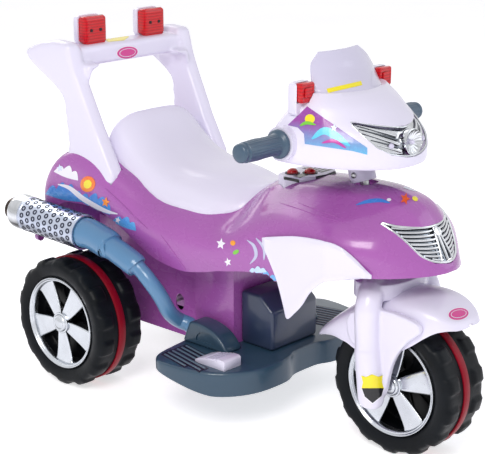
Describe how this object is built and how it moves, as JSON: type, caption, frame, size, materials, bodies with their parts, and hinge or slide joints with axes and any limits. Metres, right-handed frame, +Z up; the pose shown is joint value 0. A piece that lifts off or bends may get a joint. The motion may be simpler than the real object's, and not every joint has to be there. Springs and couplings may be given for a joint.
{
  "type": "kids electric motorcycle",
  "caption": "Three-wheeled battery ride-on motorcycle for small children: steered front wheel, hooped seat, footboard with pedal, side exhausts and lamps.",
  "frame": {"origin": "on the floor, under the middle of the bounding box", "axes": "+Z up, -Y the way the vehicle faces, -X the rider's right-hand side"},
  "size_m": [0.503, 0.9944, 0.7193],
  "materials": {
    "pink_plastic": "glossy moulded, pearl purple-pink",
    "white_plastic": "glossy moulded, lilac white",
    "grey_blue_plastic": "satin moulded, grey-blue",
    "pipe_blue_plastic": "glossy moulded, steel blue",
    "black_tyre": "satin blow-moulded, black",
    "red_band": "satin, dark red",
    "red_lens": "glossy red lens",
    "chrome": "vacuum-metallised plastic, mirror bright",
    "silver_sleeve": "metallised plastic, bright silver",
    "dark_bronze": "metallised plastic, dark bronze",
    "steel": "zinc plated",
    "black_plastic": "satin black",
    "nylon": "natural nylon"
  },
  "bodies": {
    "chassis": {"body_shell": "pink_plastic", "seat": "white_plastic", "rear_hoop": "white_plastic", "hoop_lamp_lens_right": "red_lens", "hoop_lamp_lens_left": "red_lens", "hoop_lamp_base_right": "white_plastic", "hoop_lamp_base_left": "white_plastic", "side_fin_right": "white_plastic", "side_fin_left": "white_plastic", "front_grille": "chrome", "muffler_sleeve_right": "silver_sleeve", "muffler_sleeve_left": "silver_sleeve", "muffler_bell_right": "chrome", "muffler_bell_left": "chrome", "exhaust_outlet_right": "dark_bronze", "exhaust_outlet_left": "dark_bronze", "exhaust_pipe_right": "pipe_blue_plastic", "exhaust_pipe_left": "pipe_blue_plastic", "exhaust_boot_right": "grey_blue_plastic", "exhaust_boot_left": "grey_blue_plastic", "footboard": "grey_blue_plastic", "battery_box": "grey_blue_plastic", "battery": "black_plastic", "underframe": "pink_plastic", "dash_panel": "white_plastic", "steering_bush": "nylon", "pedal_switch": "black_plastic", "rear_axle": "steel", "motor": "steel", "gearbox_case": "black_plastic", "gearbox_cover": "black_plastic"},
    "steering": {"fork": "white_plastic", "front_fender": "white_plastic", "front_axle": "steel", "steering_stem": "steel", "stem_collar": "white_plastic", "collar_bolt": "steel", "handlebar": "steel", "bar_clamp": "black_plastic", "grip_right": "grey_blue_plastic", "grip_left": "grey_blue_plastic", "cowl": "white_plastic", "cowl_lamp_lens_right": "red_lens", "cowl_lamp_lens_left": "red_lens", "headlight_reflector": "chrome", "windscreen": "white_plastic"},
    "front_wheel": {"front_wheel_tyre": "black_tyre", "front_wheel_band": "red_band", "front_wheel_rim": "chrome"},
    "rear_wheel_left": {"rear_wheel_left_tyre": "black_tyre", "rear_wheel_left_band": "red_band", "rear_wheel_left_rim": "chrome", "drive_gear": "nylon"},
    "rear_wheel_right": {"rear_wheel_right_tyre": "black_tyre", "rear_wheel_right_band": "red_band", "rear_wheel_right_rim": "chrome"},
    "pinion": {"motor_pinion": "steel"},
    "drive_pedal": {"pedal": "white_plastic"},
    "button_front": {"dash_button_front": "red_lens"},
    "button_rear": {"dash_button_rear": "red_lens"}
  },
  "joints": [
    {"name": "steer", "type": "hinge", "parent": "chassis", "child": "steering", "pos_m": [0, -0.2586, 0.475], "axis": [0, 0.342, 0.9397], "range_deg": [-30, 30]},
    {"name": "front_wheel_spin", "type": "hinge", "parent": "steering", "child": "front_wheel", "pos_m": [0, -0.3682, 0.13], "axis": [1, 0, 0], "continuous": true},
    {"name": "rear_left_spin", "type": "hinge", "parent": "chassis", "child": "rear_wheel_left", "pos_m": [0.1855, 0.3084, 0.13], "axis": [1, 0, 0], "continuous": true},
    {"name": "rear_right_spin", "type": "hinge", "parent": "chassis", "child": "rear_wheel_right", "pos_m": [-0.1855, 0.3084, 0.13], "axis": [1, 0, 0], "continuous": true},
    {"name": "pinion_spin", "type": "hinge", "parent": "chassis", "child": "pinion", "pos_m": [0, 0.2684, 0.13], "axis": [1, 0, 0], "continuous": true},
    {"name": "pedal_press", "type": "hinge", "parent": "chassis", "child": "drive_pedal", "pos_m": [-0.174, -0.0306, 0.1285], "axis": [1, 0, 0], "range_deg": [0, 6], "stiffness_Nm_per_rad": 1, "springref_deg": -5.73},
    {"name": "button_front_push", "type": "slide", "parent": "chassis", "child": "button_front", "axis": [0, 0, -1], "range_m": [0, 0.003], "stiffness_N_per_m": 300, "springref_m": -0.003},
    {"name": "button_rear_push", "type": "slide", "parent": "chassis", "child": "button_rear", "axis": [0, 0, -1], "range_m": [0, 0.003], "stiffness_N_per_m": 300, "springref_m": -0.003}
  ],
  "couplings": [
    {"joint": "pinion_spin", "follows": "rear_left_spin", "ratio": -4}
  ]
}
